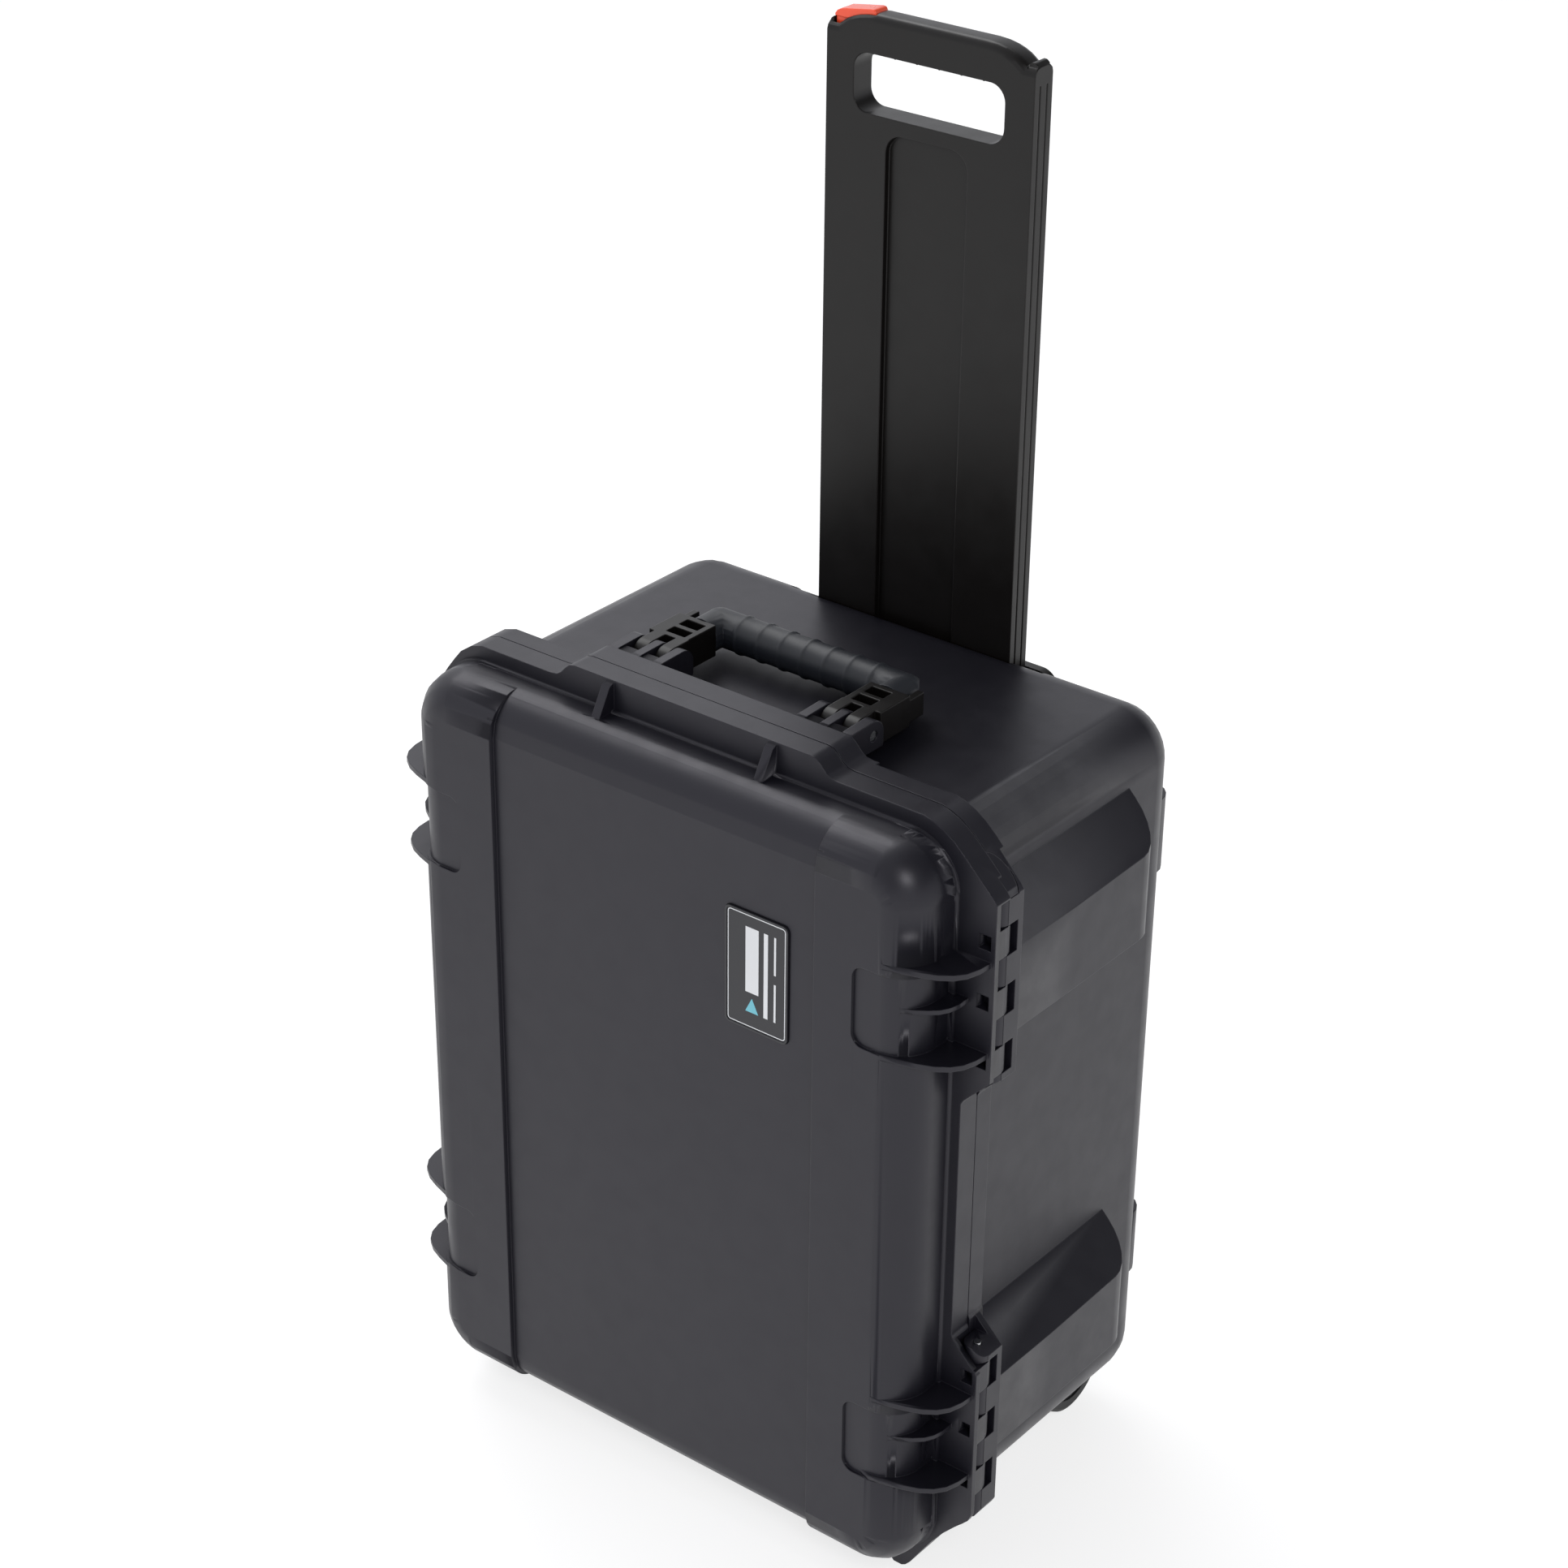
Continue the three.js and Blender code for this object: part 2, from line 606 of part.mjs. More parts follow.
function handleHousing() {
  let body = alongY(roundedRect(91, 222.25, 12, 0, 7.25), BASE_BACK_Y + GAP, 223.5);
  // inner rails that keep the plate from rocking
  for (const s of BOTH) {
    body = body.add(box(s * 40 - 3, s * 40 + 3, 214, 219, CHANNEL_FLOOR_Z + 6, 225));
  }
  for (const s of BOTH) {
    for (const z of COVER_SCREWS_Z) {
      body = body.subtract(rodY(s * COVER_SCREW_X, z, 2.1, 200, 230, 12));
      body = body.subtract(rodY(s * COVER_SCREW_X, z, 4.9, 220.6, 230));
    }
  }
  return body;
}

function housingScrew(side, z) {
  const x = side * COVER_SCREW_X;
  const head = rodY(x, z, 4.2, 220.9, 223.2);
  const shank = rodY(x, z, 1.8, 207, 221.4, 12);
  const slot = box(x - 3, x + 3, 222.2, 224, z - 0.5, z + 0.5);
  const cross = box(x - 0.5, x + 0.5, 222.2, 224, z - 3, z + 3);
  return head.add(shank).subtract(slot).subtract(cross);
}

// Top edge of the plate from the middle outwards: raised middle, then sloping shoulders.
const PLATE_TOP = [
  [38, 614.2], [45, 613.7], [51, 612.5], [56, 610.8], [60, 608.9], [63, 606.8], [65.5, 604.9], [100, 604.9],
];
// Low bump at each end of the top edge.
const PLATE_END_BUMP = [
  [66, 600], [66, 604.6], [66.8, 605.8], [68.5, 607.2], [70.5, 607], [72.2, 605.6], [PLATE_X, 603.5], [PLATE_X, 600],
];
const BUTTON_X0 = -69.5;
const BUTTON_X1 = -40;

// The plate is cut from a wider block with rounded edges, so that only its top edge is rounded.
function plateBlank() {
  const left = PLATE_TOP.map(([x, z]) => [-x, z]);
  const outline = shapeOf([[-100, 120], [100, 120], ...PLATE_TOP.slice().reverse(), ...left]);
  const round = 5;
  const depth = PLATE_BACK_Y - PLATE_FRONT_Y;
  const blank = alongY(outline, PLATE_FRONT_Y + round, PLATE_BACK_Y - round, {
    depth: depth - 2 * round, bevelEnabled: true, bevelThickness: round, bevelSize: round, bevelOffset: -round, bevelSegments: 3,
  });
  return blank.intersect(box(-PLATE_X, PLATE_X, 150, 260, PLATE_BOTTOM_Z, 700));
}

function pullHandle() {
  let plate = plateBlank();
  for (const s of BOTH) {
    plate = plate.add(alongY(shapeOf(PLATE_END_BUMP.map(([x, z]) => [s * x, z])), 199, 210.5));
  }
  plate = plate.subtract(alongY(roundedRect(53, 17.6, 10.5, 0, 573.8), 180, 230));
  const panel = roundedRect(29, 240, 12, 0, 307);
  plate = plate.subtract(alongY(panel, 180, PLATE_FRONT_Y + 4));
  plate = plate.subtract(alongY(panel, PLATE_BACK_Y - 4, 230));
  const edges = [];
  for (const s of BOTH) {
    for (const y of [201.4, 208.1]) {
      edges.push(box(...span(s * 71.9, s * 75), y - 0.5, y + 0.5, 160, 594));
    }
  }
  plate = plate.subtract(all(edges));
  // low nubs under the finger bar
  for (let i = -3; i <= 2; i += 1) {
    plate = plate.add(rodY(6 + i * 15.5, 591.6, 1.1, 197.5, 212, 10));
  }
  // button seat, rod bore and lock-bolt slot
  plate = plate.subtract(box(BUTTON_X0 - 0.5, BUTTON_X1 + 0.4, 198.5, 211, 596, 640));
  plate = plate.subtract(rodZ(ROD_X, ROD_Y, 3, 168, 600, 16));
  plate = plate.subtract(box(-90, -48, ROD_Y - 4.8, ROD_Y + 4.8, 167.6, 184.4));
  return plate;
}

// The button's top rises towards the middle of the plate, and its front is undercut at the outer end.
function releaseButton() {
  const side = shapeOf([
    [BUTTON_X0, 602], [BUTTON_X0, 609], [-68, 611], [-64.5, 612.8], [-50, 615], [-43, 616], [-41, 615.7],
    [BUTTON_X1, 614], [BUTTON_X1, 602],
  ]);
  const underCut = box(-80, -49.5, 190, 200.6, 590, 607.6);
  const stem = rodZ(ROD_X, ROD_Y, 2.4, 600.4, 603, 16);
  return alongY(side, 199, 210.6).subtract(underCut).add(stem);
}

// The rod's foot is cut at 45 degrees. It drives the slope of the lock bolt sideways.
function releaseRod() {
  const rod = rodZ(ROD_X, ROD_Y, 2.4, 172, 600.1, 16);
  const under = shapeOf([[-75, 160], [-75, 166.5], [-50, 191.5], [-50, 160]]);
  return rod.subtract(alongY(under, 195, 215));
}

function lockBolt() {
  const body = box(-76, -53, ROD_Y - 4.4, ROD_Y + 4.4, 168, 184);
  const window = shapeOf([[-70, 171], [-70, 190], [-51, 190]]);
  return body.subtract(alongY(window, ROD_Y - 2.8, ROD_Y + 2.8));
}

// ---------- carry handle ----------

const FINGERS = [[57.2, 65.4], [73.2, 82]];
const ARM_IN = 57.8;
const ARM_OUT = 86;
const ARM_END_Y = 77.5;
const GRIP_X = 69;
const GRIP_Y = 95.5;
const GRIP_Z = 258.5;
const GRIP_R = 11.6;
const CORE_R = 6.2;

function rodAlongY(x, r, y0, y1) {
  return rodY(x, GRIP_Z, r, y0, y1);
}

function carryFrame() {
  const finger = new THREE.Shape();
  finger.moveTo(52, CARRY_Z - 9);
  finger.lineTo(52, CARRY_Z + 9);
  finger.lineTo(CARRY_Y, CARRY_Z + 9);
  finger.absarc(CARRY_Y, CARRY_Z, 9, Math.PI / 2, Math.PI * 1.5, false);
  const parts = [rodX(GRIP_Y, GRIP_Z, CORE_R, -GRIP_X, GRIP_X, 20)];
  const cuts = [];
  for (const s of BOTH) {
    for (const [a, b] of FINGERS) {
      parts.push(alongX(finger, ...span(s * a, s * b)));
    }
    parts.push(box(...span(s * ARM_IN, s * ARM_OUT), 49.6, ARM_END_Y, CARRY_Z - 11.2, CARRY_Z + 9));
    parts.push(box(...span(s * 81.5, s * ARM_OUT), 70, 91, CARRY_Z - 8.5, CARRY_Z + 6));
    parts.push(rodAlongY(s * GRIP_X, CORE_R, 74, GRIP_Y));
    parts.push(ball(s * GRIP_X, GRIP_Y, GRIP_Z, CORE_R + 0.1));
    for (const [y0, y1] of [[53.4, 61.4], [65, 73.4]]) {
      cuts.push(box(...span(s * 62, s * 76), y0, y1, CARRY_Z - 3, CARRY_Z + 20));
    }
    cuts.push(rodX(CARRY_Y, CARRY_Z, 3.35, ...span(s * 55, s * 84)));
  }
  return all(parts).subtract(all(cuts));
}

function carryGrip() {
  const profile = [new THREE.Vector2(0, -GRIP_X), new THREE.Vector2(GRIP_R, -GRIP_X)];
  for (let i = -3; i <= 3; i += 1) {
    const x = i * 16.5;
    profile.push(new THREE.Vector2(GRIP_R, x - 2.2));
    profile.push(new THREE.Vector2(GRIP_R + 0.8, x - 0.9));
    profile.push(new THREE.Vector2(GRIP_R + 0.8, x + 0.9));
    profile.push(new THREE.Vector2(GRIP_R, x + 2.2));
  }
  profile.push(new THREE.Vector2(GRIP_R, GRIP_X));
  profile.push(new THREE.Vector2(0, GRIP_X));
  const lathe = new THREE.LatheGeometry(profile, 24);
  lathe.rotateZ(-Math.PI / 2);
  lathe.translate(0, GRIP_Y, GRIP_Z);
  const parts = [solid(lathe)];
  const bores = [rodX(GRIP_Y, GRIP_Z, CORE_R + 0.4, -GRIP_X, GRIP_X, 20)];
  for (const s of BOTH) {
    parts.push(ball(s * GRIP_X, GRIP_Y, GRIP_Z, GRIP_R + 0.2));
    parts.push(rodAlongY(s * GRIP_X, GRIP_R, ARM_END_Y + 0.5, GRIP_Y));
    bores.push(ball(s * GRIP_X, GRIP_Y, GRIP_Z, CORE_R + 0.55));
    bores.push(rodAlongY(s * GRIP_X, CORE_R + 0.4, 70, GRIP_Y));
  }
  // slanted outer corners of the two elbows
  const half = [[0, 120], [68, 120], [69, 109], [72, 105.2], [79.3, 95], [81, 92], [81, 60], [0, 60]];
  const right = alongZ(shapeOf(half), 200, 300);
  const left = alongZ(shapeOf(half.map(([x, y]) => [-x, y])), 200, 300);
  return all(parts).intersect(right.add(left)).subtract(all(bores));
}

// ---------- wheels ----------

function turned(points, side, segments) {
  const g = new THREE.LatheGeometry(points.map(([a, b]) => new THREE.Vector2(a, b)), segments);
  g.rotateZ(-Math.PI / 2 * side);
  g.translate(0, WHEEL_Y, WHEEL_Z);
  return solid(g);
}

function tyre(side) {
  const r = WHEEL_R;
  return turned([
    [23, WHEEL_IN], [r - 3, WHEEL_IN], [r - 1, WHEEL_IN + 1], [r, WHEEL_IN + 3.5],
    [r, WHEEL_OUT - 3.5], [r - 1, WHEEL_OUT - 1], [r - 3, WHEEL_OUT], [23, WHEEL_OUT], [23, WHEEL_IN],
  ], side, 48);
}

function hub(side) {
  return turned([
    [3.5, 137.6], [8, 137.6], [8, 144], [19.8, 144], [20.8, 142.2], [22.7, 142.2], [22.7, 159.8],
    [20.8, 159.8], [19.8, 158], [8, 158], [8, 164.4], [3.5, 164.4], [3.5, 137.6],
  ], side, 36);
}

// ---------- latches ----------

// Lever on a barrel: it crosses the seam, lies over the ridge behind and ends in a finger tip.
function latch(sign) {
  const z = sign * LATCH_Z;
  const plan = shapeOf([
    [-208, -3], [-213, 4], [-219.5, 12], [-220.5, 38], [-222.5, 43], [-220, 43.4], [-216.5, 38],
    [-216.3, 16.5], [-209, 12.2], [-200.5, 12], [-200.5, 2], [-200.5, -5], [-204, -7],
  ]);
  const lever = alongZ(plan, z - LEVER_HALF, z + LEVER_HALF);
  const barrel = rodZ(-LATCH_X, LATCH_Y, 5.2, z - LEVER_HALF, z + LEVER_HALF);
  return lever.add(barrel).subtract(rodZ(-LATCH_X, LATCH_Y, LATCH_BORE_R, z - 30, z + 30, 16));
}

// ---------- assembly ----------

const model = new THREE.Group();
model.name = 'hard_case';
const stand = new THREE.Group();
stand.name = 'stand';
stand.position.set(-CENTRE_X, -CENTRE_Y, GROUND);
model.add(stand);

stand.add(shellLook('base_shell', baseShell()));
stand.add(shellLook('lid_shell', lidShell()));
stand.add(rubberLook('lid_seal', lidSeal()));
stand.add(mesh('label_plate', labelPlate(), 0x47474d, 0.35, 0));
stand.add(handleLook('handle_housing', handleHousing()));
stand.add(handleLook('pull_handle', pullHandle()));
stand.add(redLook('release_button', releaseButton()));
stand.add(steelLook('release_rod', releaseRod()));
stand.add(steelLook('lock_bolt', lockBolt()));
stand.add(handleLook('carry_frame', carryFrame()));
stand.add(rubberLook('carry_grip', carryGrip()));

for (const [label, s] of [['left', -1], ['right', 1]]) {
  stand.add(steelLook(`carry_pin_${label}`, rodX(CARRY_Y, CARRY_Z, 3, ...span(s * 53, s * 89.4))));
  stand.add(rubberLook(`tyre_${label}`, tyre(s)));
  stand.add(mesh(`wheel_hub_${label}`, hub(s), 0x55565a, 0.5, 0));
  stand.add(steelLook(`axle_${label}`, rodX(WHEEL_Y, WHEEL_Z, AXLE_R, ...span(s * 134.3, s * 167.7), 16)));
}

for (const [label, hinge, sign] of [['upper', HINGES[0], 1], ['lower', HINGES[1], -1]]) {
  const middle = sign * LATCH_Z;
  stand.add(steelLook(`hinge_pin_${label}`, rodZ(AXIS_X, AXIS_Y, PIN_R, ...hinge.pin)));
  stand.add(handleLook(`latch_${label}`, latch(sign)));
  stand.add(steelLook(`latch_pin_${label}`, rodZ(-LATCH_X, LATCH_Y, LATCH_PIN_R, middle - 24.2, middle + 24.2, 16)));
}

let screwNumber = 1;
for (const s of BOTH) {
  for (const z of COVER_SCREWS_Z) {
    stand.add(steelLook(`cover_screw_${screwNumber}`, housingScrew(s, z)));
    screwNumber += 1;
  }
}

export default model;
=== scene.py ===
import bmesh
import bpy
import json
import math
from mathutils import Matrix, Vector

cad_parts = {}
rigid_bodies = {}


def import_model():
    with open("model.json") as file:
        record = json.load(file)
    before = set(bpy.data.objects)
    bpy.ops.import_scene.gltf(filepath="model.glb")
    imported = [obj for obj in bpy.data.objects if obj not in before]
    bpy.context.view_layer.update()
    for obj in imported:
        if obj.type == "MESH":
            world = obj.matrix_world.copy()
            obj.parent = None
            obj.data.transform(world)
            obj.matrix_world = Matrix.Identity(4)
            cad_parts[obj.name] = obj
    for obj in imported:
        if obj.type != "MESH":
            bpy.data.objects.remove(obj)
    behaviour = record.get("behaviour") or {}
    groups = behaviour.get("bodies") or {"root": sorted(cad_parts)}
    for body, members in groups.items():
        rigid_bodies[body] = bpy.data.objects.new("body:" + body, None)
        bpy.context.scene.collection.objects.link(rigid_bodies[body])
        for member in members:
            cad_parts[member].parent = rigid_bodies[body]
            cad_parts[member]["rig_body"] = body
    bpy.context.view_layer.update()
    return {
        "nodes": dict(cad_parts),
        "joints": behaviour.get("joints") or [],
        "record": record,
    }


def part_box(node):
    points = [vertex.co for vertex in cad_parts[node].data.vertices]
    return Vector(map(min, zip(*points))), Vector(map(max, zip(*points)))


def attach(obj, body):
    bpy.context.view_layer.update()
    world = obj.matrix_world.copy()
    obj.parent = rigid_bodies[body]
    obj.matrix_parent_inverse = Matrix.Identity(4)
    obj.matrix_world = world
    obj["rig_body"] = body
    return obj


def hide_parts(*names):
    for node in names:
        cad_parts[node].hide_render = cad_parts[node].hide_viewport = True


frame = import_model()

MM = 0.001
WHITE = (1, 1, 1, 1)
NODES = frame["nodes"]
JOINTS = {joint["name"]: joint for joint in frame["joints"]}
SLOT_OF = {part["node"]: part["material_slot"] for part in frame["record"]["subparts"]}

# The design's own origin: in the seam plane, half-way up, in the middle of the shell.
LID_HINGE_PLACE = Vector((207, -3.5, 0))
ORIGIN = Vector(JOINTS["lid_hinge"]["pos_m"]) - LID_HINGE_PLACE * MM


def placed(name, data):
    """A new object in the scene that shows the given data."""
    piece = bpy.data.objects.new(name, data)
    bpy.context.scene.collection.objects.link(piece)
    return piece


# ---------- materials ----------

def add(tree, kind, **inputs):
    """A shader node with the named sockets set to numbers."""
    node = tree.nodes.new(kind)
    for name, value in inputs.items():
        node.inputs[name].default_value = value
    return node


def noise(tree, place, scale, detail=3.0):
    """Smooth noise at a scale in features per metre."""
    node = add(tree, "ShaderNodeTexNoise", Scale=scale, Detail=detail, Roughness=0.55)
    tree.links.new(place, node.inputs["Vector"])
    return node.outputs["Fac"]


def ranged(tree, value, low, high, start=0.3, end=0.7):
    """Maps start..end of a value on to low..high."""
    node = tree.nodes.new("ShaderNodeMapRange")
    tree.links.new(value, node.inputs["Value"])
    for name, number in (("From Min", start), ("From Max", end), ("To Min", low), ("To Max", high)):
        node.inputs[name].default_value = number
    return node.outputs["Result"]


def scaled(tree, colour, factor):
    node = tree.nodes.new("ShaderNodeVectorMath")
    node.operation = "SCALE"
    node.inputs[0].default_value = colour[:3]
    tree.links.new(factor, node.inputs["Scale"])
    return node.outputs["Vector"]


def edge_mask(tree, rounded):
    """0 on flat ground, up to 1 on a convex or concave edge."""
    geometry = tree.nodes.new("ShaderNodeNewGeometry")
    dot = tree.nodes.new("ShaderNodeVectorMath")
    dot.operation = "DOT_PRODUCT"
    tree.links.new(rounded, dot.inputs[0])
    tree.links.new(geometry.outputs["Normal"], dot.inputs[1])
    return ranged(tree, dot.outputs["Value"], 1.0, 0.0, 0.86, 0.995)


ROUGHNESS_SPREAD = 0.035
GRAIN_HEIGHT = 0.25 * MM
COAT_ROUGHNESS = 0.2
# Painted shade: within this reach an ambient-occlusion node dims the reflections of enclosed surfaces, down
# to the share of full shine given next.
PAINTED_SHADE_REACH = 30 * MM
PAINTED_SHADE_SHINE_LEFT = 0.25


def surface(name, colour, rough, grain=900.0, grain_depth=0.06, edge_radius=0.9, wear=0.25,
            metallic=0.0, coat=0.0, sheen=0.0, variation=0.06, specular=0.5, tint=(1, 1, 1)):
    """Moulded or machined surface: fine grain, slow variation, worn edges, and painted shade that dims
    reflections in recesses.
    """
    material = bpy.data.materials.new(name)
    material.use_nodes = True
    tree = material.node_tree
    shader = tree.nodes["Principled BSDF"]
    place = tree.nodes.new("ShaderNodeTexCoord").outputs["Object"]
    bevel = tree.nodes.new("ShaderNodeBevel")
    bevel.samples = 6
    bevel.inputs["Radius"].default_value = edge_radius * MM
    rounded = bevel.outputs["Normal"]
    slow = noise(tree, place, 9.0)
    middle = noise(tree, place, 60.0)
    mask = edge_mask(tree, rounded)
    tone = tree.nodes.new("ShaderNodeMath")
    tone.operation = "MULTIPLY_ADD"
    tree.links.new(mask, tone.inputs[0])
    tone.inputs[1].default_value = wear
    tree.links.new(ranged(tree, slow, 1.0 - variation, 1.0 + variation), tone.inputs[2])
    tree.links.new(scaled(tree, colour, tone.outputs["Value"]), shader.inputs["Base Color"])
    tree.links.new(ranged(tree, middle, rough - ROUGHNESS_SPREAD, rough + ROUGHNESS_SPREAD),
                   shader.inputs["Roughness"])
    bump = tree.nodes.new("ShaderNodeBump")
    bump.inputs["Strength"].default_value = grain_depth
    bump.inputs["Distance"].default_value = GRAIN_HEIGHT
    tree.links.new(noise(tree, place, grain, 2.0), bump.inputs["Height"])
    tree.links.new(rounded, bump.inputs["Normal"])
    tree.links.new(bump.outputs["Normal"], shader.inputs["Normal"])
    shader.inputs["Metallic"].default_value = metallic
    shader.inputs["Coat Weight"].default_value = coat
    shader.inputs["Coat Roughness"].default_value = COAT_ROUGHNESS
    shader.inputs["Sheen Weight"].default_value = sheen
    shader.inputs["Specular Tint"].default_value = (*tint, 1)
    # Painted shade: reflections are dimmed where the surface is enclosed, which darkens pockets and
    # recesses.
    painted_shade_ao = add(tree, "ShaderNodeAmbientOcclusion", Distance=PAINTED_SHADE_REACH)
    painted_shade_ao.samples = 4
    shine_under_painted_shade = ranged(tree, painted_shade_ao.outputs["AO"], PAINTED_SHADE_SHINE_LEFT * specular, specular, 0.15, 0.6)
    tree.links.new(shine_under_painted_shade, shader.inputs["Specular IOR Level"])
    return material


MATERIALS = {
    "case_plastic": surface(
        "shell_plastic", (0.0085, 0.0082, 0.0125), 0.40, specular=0.46, tint=(0.95, 0.93, 1.0)),
    "handle_plastic": surface("handle_plastic", (0.0042, 0.0034, 0.0031), 0.36, grain=700.0, specular=0.34),
    "hub_plastic": surface("hub_plastic", (0.05, 0.05, 0.055), 0.42),
    "plate_plastic": surface(
        "label_plastic", (0.016, 0.016, 0.020), 0.34, grain_depth=0.02, edge_radius=0.4),
    "button_red": surface(
        "button_red", (0.90, 0.085, 0.030), 0.30, grain_depth=0.03, wear=0.05, coat=0.2),
    "seal_rubber": surface("seal_rubber", (0.012, 0.012, 0.013), 0.75, sheen=0.1),
    "grip_rubber": surface("grip_rubber", (0.011, 0.013, 0.018), 0.48, grain=500.0, grain_depth=0.10),
    "tyre": surface(
        "tyre_rubber", (0.012, 0.012, 0.013), 0.70, grain=400.0, grain_depth=0.15, sheen=0.1),
    "steel": surface(
        "steel", (0.52, 0.53, 0.54), 0.28, grain=1500.0, edge_radius=0.3, metallic=1.0, wear=0.1),
}
PRINT_LOOK = {"grain_depth": 0.02, "edge_radius": 0.1, "wear": 0.0}
PRINT_WHITE = surface("print_white", (0.72, 0.73, 0.75), 0.45, **PRINT_LOOK)
PRINT_BLUE = surface("print_blue", (0.16, 0.50, 0.60), 0.45, **PRINT_LOOK)


# ---------- surfaces the shells are rounded to ----------

def tub_surface(half_x, half_z, corner, edge, far, draft_x, draft_z):
    """Finder of the distance outside a drafted, rounded tub and of the nearest point on it, in mm."""
    flat_x = half_x - corner
    flat_z = half_z - corner
    depth = abs(far)

    def nearest(point):
        y = abs(point.y)
        if point.y * far < 0 or y > depth + 1:
            return None
        shrink_x = 1 - draft_x * y / half_x
        shrink_z = 1 - draft_z * y / half_z
        x = point.x / shrink_x
        z = point.z / shrink_z
        dx = max(abs(x) - flat_x, 0.0)
        dz = max(abs(z) - flat_z, 0.0)
        out = math.hypot(dx, dz)
        rise = y - (depth - edge)
        inner = corner - edge
        if rise <= 0:
            if out <= inner:
                return None
            gap, new_out, new_y = out - corner, corner, y
        elif out <= inner:
            return None
        else:
            reach = math.hypot(out - inner, rise)
            gap = reach - edge
            new_out = inner + (out - inner) * edge / reach
            new_y = depth - edge + rise * edge / reach
        grow = new_out / out
        new_x = math.copysign(min(abs(x), flat_x) + dx * grow, x)
        new_z = math.copysign(min(abs(z), flat_z) + dz * grow, z)
        new_x *= 1 - draft_x * new_y / half_x
        new_z *= 1 - draft_z * new_y / half_z
        return gap, Vector((new_x, math.copysign(new_y, far), new_z))

    return nearest


# The lid's raised face and its sunk panel, each also as it lies in the pockets between the fins.
LID_FRONT_DEPTH = 54.5
LID_PANEL_DEPTH = 51
LID_POCKET_INSET = 2
LID_DRAFT = 0.02


def lid_surface(depth, inset):
    return tub_surface(190 - inset, 250 - inset, 32, 24 - inset, inset - depth, LID_DRAFT, LID_DRAFT)


LID_SURFACES = [
    lid_surface(depth, inset)
    for inset in (0, LID_POCKET_INSET)
    for depth in (LID_FRONT_DEPTH, LID_PANEL_DEPTH)
]
BASE_DEPTH = 217
BASE_SURFACES = [tub_surface(195, 246, 34, 28, BASE_DEPTH, 10.5 / BASE_DEPTH, 5 / BASE_DEPTH)]


def fit_to(mesh, surfaces, rounds=3, slack=0.8, fine=0.02):
    """Splits the flats of a coarse rounding and moves the new corners out on to the true round."""
    def in_design(point):
        return (point - ORIGIN) / MM

    def hit(point):
        best = None
        for number, nearest in enumerate(surfaces):
            found = nearest(in_design(point))
            if not found or not -slack < found[0] < 0.05:
                continue
            if best is None or abs(found[0]) < abs(best[1]):
                best = (number, found[0])
        return best

    for _ in range(rounds):
        for vertex in mesh.verts:
            found = hit(vertex.co)
            vertex.index = found[0] if found else -1
        splits = []
        for edge in mesh.edges:
            a, b = edge.verts
            if a.index < 0 or a.index != b.index:
                continue
            middle = (a.co + b.co) / 2
            found = surfaces[a.index](in_design(middle))
            if found and -slack < found[0] < -fine:
                splits.append((edge, a, found[1] * MM + ORIGIN))
        for edge, a, place in splits:
            _, vertex = bmesh.utils.edge_split(edge, a, 0.5)
            vertex.co = place
        wide = [face for face in mesh.faces if len(face.verts) > 3]
        bmesh.ops.triangulate(mesh, faces=wide, quad_method="BEAUTY", ngon_method="BEAUTY")
        mesh.verts.index_update()


# ---------- finer pieces that stand for the CAD nodes ----------

def finer(node, bevel, surfaces, angle):
    """A finer copy of one CAD node: rounded surfaces, softened edges, its own material."""
    source = NODES[node]
    data = source.data.copy()
    data.name = f"{node}_fine"
    work = bmesh.new()
    work.from_mesh(data)
    bmesh.ops.remove_doubles(work, verts=work.verts, dist=0.002 * MM)
    if surfaces:
        fit_to(work, surfaces)
    bmesh.ops.dissolve_limit(
        work, angle_limit=math.radians(0.6), verts=work.verts, edges=work.edges, delimit={"NORMAL"})
    for face in work.faces:
        face.smooth = True
    work.to_mesh(data)
    work.free()
    data.set_sharp_from_angle(angle=math.radians(angle))
    piece = placed(f"{node}_skin", data)
    data.materials.clear()
    data.materials.append(MATERIALS[SLOT_OF[node]])
    if bevel:
        soft = piece.modifiers.new("edges", "BEVEL")
        soft.width = bevel * MM
        soft.segments = 2
        soft.limit_method = "ANGLE"
        soft.angle_limit = math.radians(angle)
        soft.use_clamp_overlap = False
        soft.miter_outer = "MITER_ARC"
    flat = piece.modifiers.new("flats", "WEIGHTED_NORMAL")
    flat.mode = "FACE_AREA"
    flat.weight = 100
    flat.keep_sharp = True
    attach(piece, source["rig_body"])
    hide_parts(node)


# Width in mm of the real bevels. The other nodes have edges softened by their material alone.
BEVELS = {
    "handle_housing": 0.5, "pull_handle": 0.35, "release_button": 0.6, "lock_bolt": 0.3,
    "carry_frame": 0.4, "latch_upper": 0.35, "latch_lower": 0.35,
}
ROUNDED = {"lid_shell": LID_SURFACES, "base_shell": BASE_SURFACES}
SHARP_ANGLE = {"carry_grip": 18.0}
USUAL_SHARP_ANGLE = 30.0
for node in sorted(NODES):
    finer(node, BEVELS.get(node, 0.0), ROUNDED.get(node), SHARP_ANGLE.get(node, USUAL_SHARP_ANGLE))


# ---------- plain generic print on the label ----------

